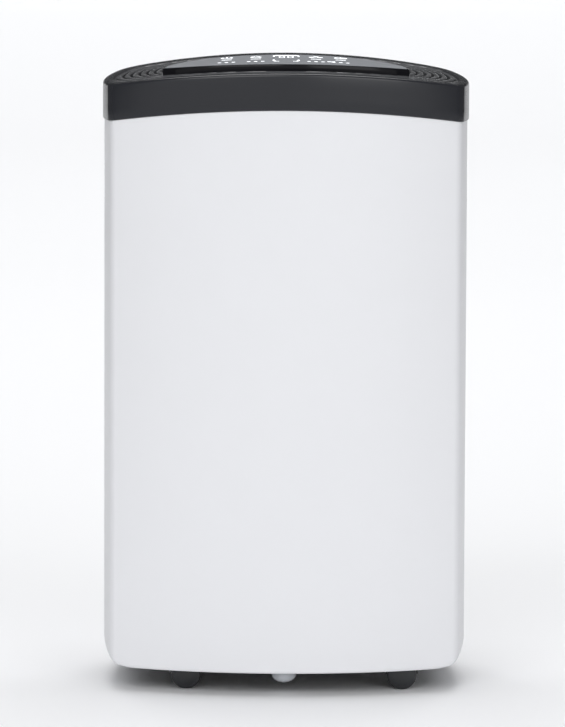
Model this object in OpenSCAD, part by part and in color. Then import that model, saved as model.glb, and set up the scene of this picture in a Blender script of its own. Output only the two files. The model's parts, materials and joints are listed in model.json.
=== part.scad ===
// Portable compressor dehumidifier on four swivel casters.
// Origin: middle of the footprint at floor level, +Z up. The front faces -Y.

/* [Casing] */
// Width over the top cover
cover_w = 290; // [286:1:294]
// Depth over the top cover
cover_d = 210; // [208:1:212]
// Height of the white casing's top edge at its middle
seam_z = 463; // [460:1:465]
// Height of the top cover's band
band_h = 29; // [27:1:31]
// Radius of the arch that the seam and the top follow, seen from the front
arch_r = 840; // [800:10:900]
// Height of the casing's lower edge above the floor
body_z = 18; // [18:0.5:20]
// Radius of the casing's lower side edges
edge_r = 18; // [14:1:20]
// Thickness of the moulded walls
wall = 2.5; // [2:0.1:2.6]

/* [Outlet grille] */
// Width of the smooth land round the grille
land = 8.7; // [8:0.1:10]
// Distance from louvre to louvre
louvre_pitch = 6.2; // [5.8:0.1:7]
// Height of the control pod above the rim
pod_rise = 5.5; // [5:0.1:6]

/* [Casters] */
// Radius of a caster wheel
wheel_r = 11.5; // [11:0.1:11.5]
// Sideways distance of a caster stem from the middle
caster_x = 85.5; // [82:0.5:87]
// Fore and aft distance of a caster stem from the middle
caster_y = 60; // [58:0.5:60]

/* [Hidden] */
$fn = 64;

// Colours
white = [0.90, 0.90, 0.92];
black = [0.10, 0.10, 0.11];
smoke = [0.35, 0.36, 0.38];
steel = [0.72, 0.73, 0.75];
copper = [0.72, 0.42, 0.25];
rubber = [0.06, 0.06, 0.06];

// Casing plan: four bows joined by round corners
front_r = 298;
side_r = 260;
rear_r = 285;
side_y = -15;        // where the casing is widest
front_corner_r = 12;
rear_corner_r = 42;
skin = 1.25;         // how far the white casing stands inside the cover
split_y = -40;       // where the front shell meets the side panels
rear_split_y = 56;   // where the side panels meet the rear shell
rim_z = seam_z + band_h;
pod_z = rim_z + pod_rise;
gap = 0.3;           // assembly clearance

// Rear openings of the casing
tank_w = 224;
tank_z = [48, 172];
bay = [[-113.5, 46], [113.5, 177]];
intake = [[-101.5, 205.5], [101.5, 414.5]];
grip_y = [-30, 50];
grip_z = [384, 414];

// Fan centre and radii
fan_z = 300;
fan_r = 72;
shaft_r = 4;
run_gap = 0.05;      // radial clearance of a running fit

// Casters
trail = 8;           // how far a wheel trails its stem
deck_z = 28;         // underside of the decks over the casters
skirt_z = 15.5;      // lower edge of a caster's hood
stem_r = 3.95;
axle_r = 2;

// Points of an arc about c, from angle a0 to a1 in n steps; open leaves the last one out
function arc(c, r, a0, a1, n, open = 0) =
    [for (i = [0:n - open]) let (a = a0 + (a1 - a0) * i / n) c + r * [cos(a), sin(a)]];

// Direction of a vector in degrees
function heading(v) = atan2(v[1], v[0]);

// Centre of a circle of radius r that touches two larger circles from inside
function nested(c1, r1, c2, r2, r) =
    let (a = r1 - r, b = r2 - r, d = norm(c2 - c1), u = (c2 - c1) / d,
         x = (d * d + a * a - b * b) / (2 * d), y = sqrt(a * a - x * x))
    c1 + x * u + y * [-u[1], u[0]];

// A right-hand outline followed by its mirror image
function both_sides(p) =
    concat(p, [for (i = [len(p) - 2:-1:1]) [-p[i][0], p[i][1]]]);

// Plan of the casing, d inside the cover's skin
function plan(d) =
    let (cf = [0, -cover_d / 2 + front_r], rf = front_r - d,
         cs = [cover_w / 2 - side_r, side_y], rs = side_r - d,
         cr = [0, cover_d / 2 - rear_r], rr = rear_r - d,
         r1 = max(front_corner_r - d, 2), r2 = max(rear_corner_r - d, 2),
         c1 = nested(cf, rf, cs, rs, r1), c2 = nested(cs, rs, cr, rr, r2),
         a1 = heading(c1 - cf), a2 = heading(c1 - cs),
         a3 = heading(c2 - cs), a4 = heading(c2 - cr))
    both_sides(concat(arc(cf, rf, -90, a1, 14, 1), arc(c1, r1, a1, a2, 8, 1),
        arc(cs, rs, a2, a3, 10, 1), arc(c2, r2, a3, a4, 12, 1), arc(cr, rr, a4, 90, 12)));

// Plan of the control pod, d inside its side: a front bow and an elliptical back
pod_tip = [97, -53];
pod_front_y = -75;
pod_back_y = 17;
function pod_plan(d) =
    let (sag = pod_tip[1] - pod_front_y, r = (pod_tip[0] ^ 2 + sag ^ 2) / (2 * sag),
         a = asin(pod_tip[0] / r), b = pod_back_y - pod_tip[1])
    both_sides(concat(
        arc([0, pod_front_y + r], r - d, -90, -90 + a - 2.5, 12),
        [for (t = [2:4:90]) [(pod_tip[0] - d) * cos(t), pod_tip[1] + (b - d) * sin(t)]]));

// Upright slab with the casing's plan
module slab(d, z0, z1)
    translate([0, 0, z0]) linear_extrude(z1 - z0) polygon(plan(d));

module pod_slab(d, z0, z1)
    translate([0, 0, z0]) linear_extrude(z1 - z0) polygon(pod_plan(d));

// Everything below the arch whose crown is at height z
module arch(z)
    translate([0, 150, z - arch_r]) rotate([90, 0, 0]) cylinder(r = arch_r, h = 300, $fn = 360);

// The casing's front view, d inside its skin, with round lower edges
module front_view(d, low, depth = 150) {
    w = cover_w / 2 - skin - d;
    r = edge_r - d;
    corner = [w - r, body_z + edge_r];
    translate([0, depth, 0]) rotate([90, 0, 0]) linear_extrude(2 * depth)
        polygon(both_sides(concat([[0, low]], low < body_z + d ? [[corner[0], low]] : [],
            arc(corner, r, -90, 0, 8), [[w, 600], [0, 600]])));
}

// Block between two corners
module block(a, b) translate(a) cube(b - a);

// Cylinder along Y
module rod_y(x, y0, y1, z, r)
    translate([x, y1, z]) rotate([90, 0, 0]) cylinder(r = r, h = y1 - y0);

// Cylinder along X
module rod_x(x0, x1, y, z, r)
    translate([x0, y, z]) rotate([0, 90, 0]) cylinder(r = r, h = x1 - x0);

// Cylinder along Z
module rod_z(x, y, z0, z1, r)
    translate([x, y, z0]) cylinder(r = r, h = z1 - z0);

// ---- Casing ----

module casing_skin() {
    difference() {
        intersection() {
            slab(skin, body_z, rim_z);
            front_view(0, body_z);
            arch(seam_z - gap);
        }
        intersection() {
            slab(skin + wall, 0, 600);
            front_view(wall, 0);
        }
    }
}

// Long screws run from the rear shell through the side panels into the front shell
screw_x = 126;
screw_zs = [64, 190, 428];
screw_seat_y = 59;

// Screw pillars of radius r between two depths, each tied to the wall by a rib
module pillars(r, y0, y1)
    for (s = [-1, 1], z = screw_zs)
        intersection() {
            slab(skin + 1, 0, 600);
            union() {
                rod_y(s * screw_x, y0, y1, z, r);
                translate([s * (screw_x + 8), (y0 + y1) / 2, z])
                    cube([16, y1 - y0, 3], center = true);
            }
        }

module front_shell() {
    color(white) {
        intersection() {
            casing_skin();
            block([-200, -200, 0], [200, split_y, 600]);
        }
        difference() {
            pillars(4.5, split_y - 26, split_y);
            for (s = [-1, 1], z = screw_zs) rod_y(s * screw_x, split_y - 20, 0, z, 1.4);
        }
    }
}

module side_panel(s) {
    color(white) difference() {
        union() {
            intersection() {
                casing_skin();
                block([-200, split_y + gap, 0], [200, rear_split_y, 600]);
            }
            pillars(5, split_y + gap, rear_split_y);
        }
        for (z = screw_zs) rod_y(s * screw_x, -60, 100, z, 1.8);
        block([-200, grip_y[0], grip_z[0]], [200, grip_y[1], grip_z[1]]);
        block([s > 0 ? -200 : 0, -200, -10], [s > 0 ? 0 : 200, 200, 600]);
    }
}
module side_panel_left() side_panel(-1);
module side_panel_right() side_panel(1);

// The casing behind the side panels
module rear_wall()
    difference() {
        union() {
            intersection() {
                casing_skin();
                block([-200, rear_split_y + gap, 0], [200, 200, 600]);
            }
            pillars(5, rear_split_y + gap, 90);
        }
        for (s = [-1, 1], z = screw_zs) {
            rod_y(s * screw_x, screw_seat_y, 110, z, 3.6);
            rod_y(s * screw_x, 0, 80, z, 1.8);
        }
    }

// The corners beside the tank
module rear_posts() {
    color(white) difference() {
        rear_wall();
        block([bay[0][0], 40, 0], [bay[1][0], 120, 600]);
    }
}

// The wall under the tank
module rear_sill() {
    color(white) difference() {
        intersection() {
            rear_wall();
            block([bay[0][0] + gap, 40, 0], [bay[1][0] - gap, 120, bay[0][1]]);
        }
        rod_y(0, 60, 120, gland_z, 7);
    }
}

// The wall above the tank, round the intake
module rear_shell() {
    color(white) difference() {
        intersection() {
            rear_wall();
            block([bay[0][0] + gap, 40, bay[1][1]], [bay[1][0] - gap, 120, 600]);
        }
        block([intake[0][0], 60, intake[0][1]], [intake[1][0], 120, intake[1][1]]);
        rod_y(spigot[0], 60, 120, spigot[1], 6.3);
    }
}

// Trays of the base: a middle one and a beam each side, clear of the casters
pan_arm = [61, 35.6];
pan_inset = skin + wall + gap;
module middle_plan(d)
    intersection() {
        polygon(plan(pan_inset + d));
        square([2 * (pan_arm[0] - d), 300], center = true);
    }

module beam_plan(d)
    intersection() {
        polygon(plan(pan_inset + d));
        translate([pan_arm[0] + gap + d, d - pan_arm[1]]) square([200, 2 * (pan_arm[1] - d)]);
    }

module base_pan() {
    color(black) difference() {
        union() {
            difference() {
                translate([0, 0, body_z]) linear_extrude(18) middle_plan(0);
                translate([0, 0, body_z + wall]) linear_extrude(30) middle_plan(wall);
            }
            for (x = [-1, 1])
                block([x * 40 - 1.5, 32, body_z], [x * 40 + 1.5, 92, tank_z[0] - gap]);
            rod_z(0, plug_y, body_z, body_z + 6, 9);
        }
        rod_z(0, plug_y, 0, 60, plug_r + run_gap);
        rod_y(0, 60, 120, gland_z, 7.2);
    }
}

module side_beams() {
    color(black) for (s = [0, 1])
        mirror([s, 0, 0]) difference() {
            intersection() {
                translate([0, 0, body_z]) linear_extrude(18) beam_plan(0);
                front_view(wall + gap, body_z);
            }
            intersection() {
                translate([0, 0, body_z + wall]) linear_extrude(30) beam_plan(wall);
                front_view(2 * wall + gap, body_z + wall);
            }
        }
}

// A deck over each caster, with the socket for its stem
module caster_decks() {
    color(black)
        for (x = [-1, 1], y = [-1, 1])
            difference() {
                union() {
                    intersection() {
                        slab(pan_inset, deck_z, deck_z + wall);
                        mirror([x > 0 ? 0 : 1, 0, 0]) mirror([0, y > 0 ? 0 : 1, 0])
                            block([pan_arm[0] + gap, pan_arm[1] + gap, 0], [200, 200, 60]);
                        front_view(wall + gap, 0);
                    }
                    rod_z(x * caster_x, y * caster_y, deck_z, 45, 8);
                }
                rod_z(x * caster_x, y * caster_y, 0, 43, stem_r + run_gap);
            }
}

module side_grip(s) {
    color(black) intersection() {
        slab(skin, 0, 600);
        mirror([s > 0 ? 0 : 1, 0, 0]) difference() {
            block([121, grip_y[0] + gap, grip_z[0] + gap], [160, grip_y[1] - gap, grip_z[1] - gap]);
            block([123, grip_y[0] + 2.5, grip_z[0] + 2.5], [170, grip_y[1] - 2.5, grip_z[1] - 2.5]);
        }
    }
}
module side_grip_left() side_grip(-1);
module side_grip_right() side_grip(1);

// ---- Top ----

// The grille opening: the casing's plan inside the land, wider land at the rear
rear_land = 12;
module opening_plan(d)
    intersection() {
        polygon(plan(land + d));
        translate([0, -rear_land]) polygon(plan(land + d));
    }

module opening(d, z0, z1)
    translate([0, 0, z0]) linear_extrude(z1 - z0) opening_plan(d);

module top_cover() {
    color(black) difference() {
        union() {
            difference() {
                intersection() {
                    slab(0, 430, 520);
                    arch(rim_z);
                }
                arch(seam_z);
            }
            intersection() {
                slab(skin + wall + gap, 430, 470);
                arch(seam_z + 2);
            }
        }
        intersection() {
            slab(skin + wall + gap + 2, 400, 520);
            arch(rim_z - wall);
        }
        arch(seam_z - 8);
        opening(0, 400, 520);
    }
}

louvre_top = 1.5;    // louvres below the rim
louvre_h = 7.5;
louvre_y = -8;       // centre of the louvre rings
louvre_t = 2.4;      // thickness of a louvre

// Plan of the louvres: rings, with a frame round the opening and a collar round the pod
module louvre_plan()
    difference() {
        union() {
            difference() {
                opening_plan(gap);
                opening_plan(gap + 1.8);
            }
            intersection() {
                opening_plan(gap + 0.9);
                for (i = [6:24])
                    translate([0, louvre_y]) difference() {
                        circle(r = i * louvre_pitch + louvre_t, $fn = 180);
                        circle(r = i * louvre_pitch, $fn = 180);
                    }
            }
            polygon(pod_plan(-2.2));
        }
        polygon(pod_plan(-gap));
    }

// Plan of the straight bars that carry the louvres
module bar_plan()
    difference() {
        intersection() {
            opening_plan(gap + 0.9);
            for (a = [0:30:150])
                translate([0, louvre_y]) rotate(a) square([320, 2], center = true);
        }
        polygon(pod_plan(-gap - 1));
    }

module outlet_grille() {
    crown = rim_z - louvre_top;
    color(black) difference() {
        union() {
            intersection() {
                translate([0, 0, 450]) linear_extrude(60) louvre_plan();
                arch(crown);
            }
            intersection() {
                translate([0, 0, 450]) linear_extrude(60) bar_plan();
                arch(crown - 3);
            }
        }
        arch(crown - louvre_h);
    }
}

module control_pod() {
    flange_z = rim_z - louvre_top - louvre_h - gap;
    color(black) difference() {
        union() {
            intersection() {
                pod_slab(0, 450, 520);
                arch(pod_z - 0.6);
            }
            intersection() {
                pod_slab(-2.2, 450, 520);
                arch(flange_z);
            }
        }
        arch(flange_z - 2);
        intersection() {
            pod_slab(wall, 400, 520);
            arch(pod_z - 4.6);
        }
        difference() {
            pod_slab(1.6, 470, 520);
            arch(pod_z - 2);
        }
        block([-9, -30, 470], [9, 8, 520]);
    }
}

display = [[-8, -24], [8, 4]];
module control_panel() {
    color(smoke) difference() {
        intersection() {
            pod_slab(1.8, 470, 520);
            arch(pod_z);
        }
        arch(pod_z - 2);
        block([display[0][0], display[0][1], 470], [display[1][0], display[1][1], 520]);
    }
}

module display_window() {
    color([0.2, 0.22, 0.25]) difference() {
        intersection() {
            block([display[0][0] + 0.1, display[0][1] + 0.1, 480],
                [display[1][0] - 0.1, display[1][1] - 0.1, 520]);
            arch(pod_z);
        }
        arch(pod_z - 2);
    }
}

module control_board() {
    color([0.05, 0.3, 0.15]) difference() {
        block([-60, -62, 484], [60, -4, 485.6]);
        for (x = [-54, 54], y = [-56, -10]) rod_z(x, y, 480, 490, 1.6);
    }
}

module display_module() {
    color(black) block([-7.5, -23.5, 485.6], [7.5, 3.5, 494.5]);
}

// ---- Rear intake ----

module intake_grille() {
    x = intake[1][0] - 1.5;
    z = [intake[0][1] + 1.5, intake[1][1] - 1.5];
    rows = 21;
    pitch = (z[1] - z[0] - 16) / rows;
    color(white) {
        difference() {
            intersection() {
                slab(skin, 0, 600);
                block([-x, 40, z[0]], [x, 120, z[1]]);
            }
            slab(skin + wall, 0, 600);
            for (i = [0:rows - 1], c = [-1:1])
                block([c * 63 - 28.5, 40, z[0] + 8 + i * pitch + 2],
                    [c * 63 + 28.5, 120, z[0] + 8 + i * pitch + pitch - 2]);
        }
        for (sx = [-1, 1], pz = [z[0] + 4, z[1] - 4])
            intersection() {
                slab(skin + 1, 0, 600);
                rod_y(sx * 92, 78.8, 120, pz, 3);
            }
    }
}

module filter_frame() {
    color(smoke) difference() {
        block([-97, 74, 208.5], [97, 78.8, 411.5]);
        for (x = [-1, 1]) block([x > 0 ? 1.5 : -92, 70, 215], [x > 0 ? 92 : -1.5, 90, 405]);
    }
}

module filter_mesh() {
    color([0.25, 0.3, 0.35])
        for (x = [-1, 1]) block([x > 0 ? 1.5 : -92, 76, 215], [x > 0 ? 92 : -1.5, 76.8, 405]);
}

// ---- Water path ----

spigot = [60, 191];
gland_z = 33;
plug_y = -86;
plug_r = 5.9;
grasp = [[-42, 118], [42, 142]];   // finger recess in the tank's rear
float_x = -88;

// The tank's volume, d inside its skin
module tank_body(d)
    intersection() {
        slab(skin + d, tank_z[0] + d, tank_z[1] + 10);
        block([-tank_w / 2 + d, 30 + d, 0], [tank_w / 2 - d, 120, 600]);
    }

module water_tank() {
    color([0.85, 0.87, 0.9]) {
        difference() {
            intersection() {
                tank_body(0);
                block([-200, 0, 0], [200, 120, tank_z[1]]);
            }
            difference() {
                tank_body(wall);
                block([grasp[0][0] - wall, 84, grasp[0][1] - wall],
                    [grasp[1][0] + wall, 120, grasp[1][1] + wall]);
            }
            block([grasp[0][0], 84 + wall, grasp[0][1]], [grasp[1][0], 120, grasp[1][1]]);
            block([60, 80, 62], [74, 120, 150]);
        }
        for (y = [44, 58])
            difference() {
                block([float_x - 22.5, y - 1.5, 140], [float_x - 13, y + 1.5, 156]);
                rod_y(float_x - 16, 40, 64, 150, 1.6);
            }
    }
}

module level_window() {
    color([0.5, 0.6, 0.7, 0.5]) intersection() {
        difference() {
            slab(skin, 0, 600);
            slab(skin + wall, 0, 600);
        }
        block([60.1, 80, 62.1], [73.9, 120, 149.9]);
    }
}

module tank_lid() {
    color(white) difference() {
        intersection() {
            slab(skin + 0.5, tank_z[1], tank_z[1] + 3);
            block([-tank_w / 2 + 0.5, 30.5, 0], [tank_w / 2 - 0.5, 120, 600]);
        }
        rod_z(60, 60, 100, 200, 12);
    }
}

module tank_float() {
    color([0.95, 0.6, 0.2]) {
        difference() {
            union() {
                block([float_x - 17, 46, 148.6], [float_x + 6, 56, 151.4]);
                block([float_x + 4, 40, 140], [float_x + 38, 62, 154]);
            }
            rod_z(float_x + 21, 51, 145, 160, 6.1);
        }
        rod_y(float_x - 16, 41.5, 60.5, 150, 1.5);
    }
}

module float_magnet() {
    color(steel) rod_z(float_x + 21, 51, 145, 153.5, 6);
}

module level_switch() {
    color(black) {
        block([float_x + 12, 24, 146], [float_x + 30, 29, 162]);
        block([float_x + 4, 24, 150], [float_x + 12, 26, 158]);
    }
}

module drip_tray() {
    color(white) {
        difference() {
            block([-114, 25.5, 179], [114, 74, 192]);
            block([-112, 27.5, 181.5], [112, 72, 200]);
            rod_z(60, 60, 170, 190, 4);
        }
        difference() {
            rod_z(60, 60, 176.3, 183.5, 7);
            rod_z(60, 60, 170, 190, 4);
        }
    }
}

module drain_outlet() {
    color(smoke) difference() {
        union() {
            rod_y(spigot[0], 74, 103.4, spigot[1], 6);
            rod_y(spigot[0], 89, 92, spigot[1], 9);
        }
        rod_y(spigot[0], 70, 110, spigot[1], 4);
    }
}

module drain_cap() {
    color(rubber) difference() {
        rod_y(spigot[0], 99.6, 105, spigot[1], 8.5);
        rod_y(spigot[0], 90, 103.5, spigot[1], 6 + run_gap);
    }
}

module cord_gland() {
    color(black) difference() {
        union() {
            rod_y(0, 90, 104, gland_z, 6.9);
            rod_y(0, 103.75, 105, gland_z, 10);
        }
        rod_y(0, 80, 120, gland_z, 3.6);
    }
}

module drain_plug() {
    color([0.7, 0.72, 0.74]) {
        rod_z(0, plug_y, body_z - 1, body_z + 3, plug_r);
        translate([0, plug_y, 0]) rotate_extrude()
            polygon(concat([[0, body_z - gap], [10, body_z - gap]],
                [for (a = [0:10:90]) [10 * cos(a), body_z - 2.5 - 6.8 * sin(a)]]));
    }
}

// ---- Refrigeration ----

comp = [0, -38];
module compressor() {
    color(black) {
        translate([comp[0], comp[1], 0]) rotate_extrude()
            polygon(concat([[0, 44], [38, 44], [45, 51]], arc([33, 158], 12, 0, 90, 8),
                [[14, 174], [0, 175]]));
        for (a = [90, 210, 330])
            translate([comp[0], comp[1], 0]) rotate([0, 0, a])
                difference() {
                    block([25, -11, 41], [66, 11, 44]);
                    rod_z(56, 0, 30, 50, 4.2);
                }
        rod_z(comp[0], comp[1], 40.9, 46, 30);
        rod_z(comp[0] + 20, comp[1], 170, 182, 4);
    }
}

module compressor_feet() {
    color(rubber)
        for (a = [90, 210, 330])
            translate([comp[0], comp[1], 0]) rotate([0, 0, a]) {
                rod_z(56, 0, body_z + wall, 41, 9);
                rod_z(56, 0, 40, 46, 4);
                rod_z(56, 0, 44, 47, 7);
            }
}

module terminal_cover() {
    color(black) difference() {
        block([comp[0] - 62, comp[1] - 16, 112], [comp[0] - 40, comp[1] + 16, 140]);
        rod_z(comp[0], comp[1], 100, 200, 45.3);
    }
}

module accumulator() {
    color(black) translate([comp[0] + 66, comp[1] + 14, 0]) rotate_extrude()
        polygon(concat([[0, 60], [5, 60], [15, 68]], arc([9, 144], 6, 0, 90, 5),
            [[4, 152], [4, 160], [0, 160]]));
}

// Points of a bend at b between a and c, cut back by r
function bend(a, b, c, r) =
    let (p = b + r * (a - b) / norm(a - b), q = b + r * (c - b) / norm(c - b))
    [for (t = [0:0.25:1]) (1 - t) ^ 2 * p + 2 * t * (1 - t) * b + t ^ 2 * q];

// A route through corner points with each corner rounded
function rounded(p, r) =
    concat([p[0]], [for (i = [1:len(p) - 2]) each bend(p[i - 1], p[i], p[i + 1], r)],
        [p[len(p) - 1]]);

function unit(v) = v / norm(v);

// Normals carried along a route without twist
function normals(d, i, n) =
    let (m = unit(n - (n * d[i]) * d[i])) i == len(d) - 1 ? [m] : concat([m], normals(d, i + 1, m));

// Closed tube of radius r swept along a route
module pipe(route, r, sides = 10) {
    last = len(route) - 1;
    dir = [for (i = [0:last]) unit(route[min(i + 1, last)] - route[max(i - 1, 0)])];
    n = normals(dir, 0, abs(dir[0][2]) < 0.9 ? [0, 0, 1] : [1, 0, 0]);
    points = [for (i = [0:last], k = [0:sides - 1]) let (a = 360 * k / sides)
        route[i] + r * (cos(a) * n[i] + sin(a) * cross(dir[i], n[i]))];
    faces = concat([[for (k = [sides - 1:-1:0]) k]],
        [for (i = [0:last - 1], k = [0:sides - 1]) let (m = (k + 1) % sides)
            [i * sides + k, i * sides + m, (i + 1) * sides + m, (i + 1) * sides + k]],
        [[for (k = [0:sides - 1]) last * sides + k]]);
    polyhedron(points, faces, convexity = 10);
}

// Serpentine of straight tubes along X joined by return bends
coil_rows = 9;
coil_pitch = 22;
coil_r = 3.4;
coil_x = 100;
module coil(y, z0) {
    for (i = [0:coil_rows - 1])
        rod_x(-coil_x, coil_x, y, z0 + i * coil_pitch, coil_r);
    for (i = [0:coil_rows - 2])
        translate([(i % 2 == 0 ? 1 : -1) * coil_x, y, z0 + (i + 0.5) * coil_pitch])
            rotate([90, i % 2 == 0 ? 0 : 180, 0]) rotate([0, 0, -90])
                rotate_extrude(angle = 180) translate([coil_pitch / 2, 0]) circle(r = coil_r, $fn = 24);
}

// Stack of fin plates across the tubes
fin_count = 25;
module fins(y, depth, z0) {
    for (i = [0:fin_count - 1])
        translate([-96 + 8 * i - 0.4, 0, 0]) difference() {
            block([0, y - depth / 2, z0 - 11], [0.8, y + depth / 2, z0 + coil_pitch * coil_rows - 11]);
            for (k = [0:coil_rows - 1])
                rod_x(-5, 5, y, z0 + k * coil_pitch, coil_r + 0.3);
        }
}

evap_y = 62;
cond_y = 38;
coil_z = 208;
module evaporator_coil() color(copper) coil(evap_y, coil_z);
module condenser_coil() color(copper) coil(cond_y, coil_z);
module evaporator_fins() color(steel) fins(evap_y, 20, coil_z);
module condenser_fins() color(steel) fins(cond_y, 20, coil_z);

coil_top = coil_z + (coil_rows - 1) * coil_pitch;
acc = [comp[0] + 66, comp[1] + 14];

pipe_x = 120.3;      // pipes run down outside the scroll
module suction_pipe() {
    color(copper) pipe(rounded([[coil_x + 0.3, evap_y, coil_top], [109, evap_y, coil_top],
        [pipe_x, evap_y, 370], [pipe_x, 6, 330], [pipe_x, acc[1], 300], [pipe_x, acc[1], 202],
        [112, acc[1], 190], [acc[0], acc[1], 186], [acc[0], acc[1], 160.3]], 6), 3);
}

module discharge_pipe() {
    color(copper) pipe(rounded([[comp[0] + 20, comp[1], 182.3], [comp[0] + 20, comp[1], 193],
        [110, comp[1] - 6, 194], [pipe_x, comp[1] - 6, 205], [pipe_x, comp[1] - 6, 335],
        [pipe_x, cond_y, 372], [110, cond_y, coil_top], [coil_x + 0.3, cond_y, coil_top]], 5), 2.5);
}

module filter_drier() {
    color(copper) translate([-111, 50, 0]) rotate_extrude()
        polygon([[0, 206], [2, 206], [2, 210], [4.5, 216], [4.5, 246], [2, 252], [2, 256], [0, 256]]);
}

module capillary_tube() {
    color(copper) {
        pipe(rounded([[-coil_x - 0.3, cond_y, coil_z], [-107, cond_y, coil_z], [-111, 44, 199],
            [-111, 50, 199], [-111, 50, 205.7]], 3), 1.5, 8);
        pipe(rounded([[-111, 50, 256.3], [-111, 50, 262], [-118.5, 56, 262], [-118.5, evap_y, 225],
            [-108, evap_y, coil_z], [-coil_x - 0.3, evap_y, coil_z]], 3), 1.5, 8);
    }
}

// ---- Fan ----

// Scroll: a spiral that grows from the tongue round to a mouth at the top
tongue_a = 60;
function scroll_r(a) = 80 + 30 * (a - tongue_a) / 300;
function scroll_line(t) =
    concat([for (a = [tongue_a:10:360]) (scroll_r(a) + t) * [cos(a), sin(a)]],
        [[scroll_r(360) + t, 145], [52 - t, 145]]);
module scroll_slab(t, y0, y1)
    translate([0, y1, fan_z]) rotate([90, 0, 0]) linear_extrude(y1 - y0) polygon(scroll_line(t));

module fan_scroll() {
    color(black) difference() {
        scroll_slab(2, -32, 19.7);
        difference() {
            scroll_slab(0, -30, 30);
            block([-200, -40, fan_z + 160], [200, 40, 600]);
        }
        translate([0, 0, fan_z + 143]) block([53, -30, 0], [109, 30, 10]);
        rod_y(0, -40, -20, fan_z, 30);
    }
}

module scroll_cover() {
    color(black) difference() {
        scroll_slab(2, 20, 22);
        rod_y(0, 10, 30, fan_z, 56);
    }
}

module bulkhead() {
    color(steel) difference() {
        block([-116, 22.2, 200], [116, 23.8, 440]);
        rod_y(0, 10, 30, fan_z, 62);
    }
}

blades = 24;
module fan_wheel() {
    color(smoke) difference() {
        union() {
            rod_y(0, -26, -24, fan_z, fan_r);
            rod_y(0, -25, 2, fan_z, 12);
            difference() {
                rod_y(0, 13, 16, fan_z, fan_r);
                rod_y(0, 10, 20, fan_z, fan_r - 8);
            }
            for (i = [0:blades - 1])
                translate([0, -25, fan_z]) rotate([0, i * 360 / blades, 0])
                    translate([fan_r - 7, 0, 0]) rotate([0, 35, 0])
                        translate([-6.5, 0, -0.6]) cube([13, 39, 1.2]);
        }
        rod_y(0, -40, 40, fan_z, shaft_r + run_gap);
    }
}

module fan_motor() {
    color(steel) difference() {
        union() {
            rod_y(0, -78, -34, fan_z, 36);
            rod_y(0, -34, -28, fan_z, 14);
            for (a = [45:90:315])
                translate([0, 0, fan_z]) rotate([0, a, 0]) block([30, -37, -6], [46, -32.3, 6]);
        }
        rod_y(0, -90, -20, fan_z, shaft_r + run_gap);
    }
}

module motor_shaft() color(steel) rod_y(0, -82, 6, fan_z, shaft_r);

// ---- Electrics ----

module run_capacitor() {
    color(white) {
        rod_y(-86, -80, -36, 236, 12);
        rod_y(-86, -84, -80, 236, 5);
    }
}

module power_board() {
    color([0.05, 0.3, 0.15]) {
        block([56, -70, 214], [57.6, -36, 270]);
        block([57.6, -66, 220], [76, -44, 240]);
        block([57.6, -62, 246], [70, -48, 262]);
    }
}

module humidity_sensor() {
    color(white) {
        block([84, 68, 418], [100, 76, 430]);
        block([88, 64, 422], [96, 68, 426]);
    }
}

module casing_screws() {
    color(steel)
        for (s = [-1, 1], z = screw_zs) {
            rod_y(s * screw_x, screw_seat_y + 0.1, screw_seat_y + 2.6, z, 3.3);
            rod_y(s * screw_x, split_y - 18, screw_seat_y + 1, z, 1.3);
        }
}

// ---- Casters: a stem, a hood, an axle and two wheels each ----

module caster_hood() {
    color(black) difference() {
        union() {
            intersection() {
                rod_y(trail, -10, 10, wheel_r, 14.4);
                block([-20, -20, skirt_z], [40, 20, 30]);
            }
            intersection() {
                rod_y(trail, -1.3, 1.3, wheel_r, 13);
                block([-20, -20, wheel_r], [40, 20, 30]);
            }
            rod_z(0, 0, wheel_r + 4, 27, 6);
            rod_y(trail, -1.3, 1.3, wheel_r, 5);
        }
        difference() {
            rod_y(trail, -12, 12, wheel_r, 12.6);
            rod_y(trail, -1.3, 1.3, wheel_r, 12.7);
        }
        rod_y(trail, -5, 5, wheel_r, axle_r);
        rod_z(0, 0, 22, 30, stem_r);
    }
}

module caster_pins() {
    color(steel) {
        rod_z(0, 0, 22.1, 42.5, stem_r);
        rod_y(trail, -8, 8, wheel_r, axle_r);
    }
}

module caster_wheels() {
    color(rubber)
        for (s = [0, 1])
            mirror([0, s, 0]) translate([trail, 0, wheel_r]) rotate([-90, 0, 0]) rotate_extrude()
                polygon([[axle_r + run_gap, 1.6], [wheel_r - 0.8, 1.6], [wheel_r, 2.4],
                    [wheel_r, 8.2], [wheel_r - 0.5, 9], [wheel_r - 2, 9.7], [wheel_r - 5, 10.4],
                    [0, 10.8], [0, 8.5], [axle_r + run_gap, 8.5]]);
}

module at_caster(x, y) translate([x * caster_x, y * caster_y, 0]) children();

module caster_fl_hood() at_caster(-1, -1) caster_hood();
module caster_fl_pins() at_caster(-1, -1) caster_pins();
module caster_fl_wheels() at_caster(-1, -1) caster_wheels();
module caster_fr_hood() at_caster(1, -1) caster_hood();
module caster_fr_pins() at_caster(1, -1) caster_pins();
module caster_fr_wheels() at_caster(1, -1) caster_wheels();
module caster_rl_hood() at_caster(-1, 1) caster_hood();
module caster_rl_pins() at_caster(-1, 1) caster_pins();
module caster_rl_wheels() at_caster(-1, 1) caster_wheels();
module caster_rr_hood() at_caster(1, 1) caster_hood();
module caster_rr_pins() at_caster(1, 1) caster_pins();
module caster_rr_wheels() at_caster(1, 1) caster_wheels();

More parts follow.
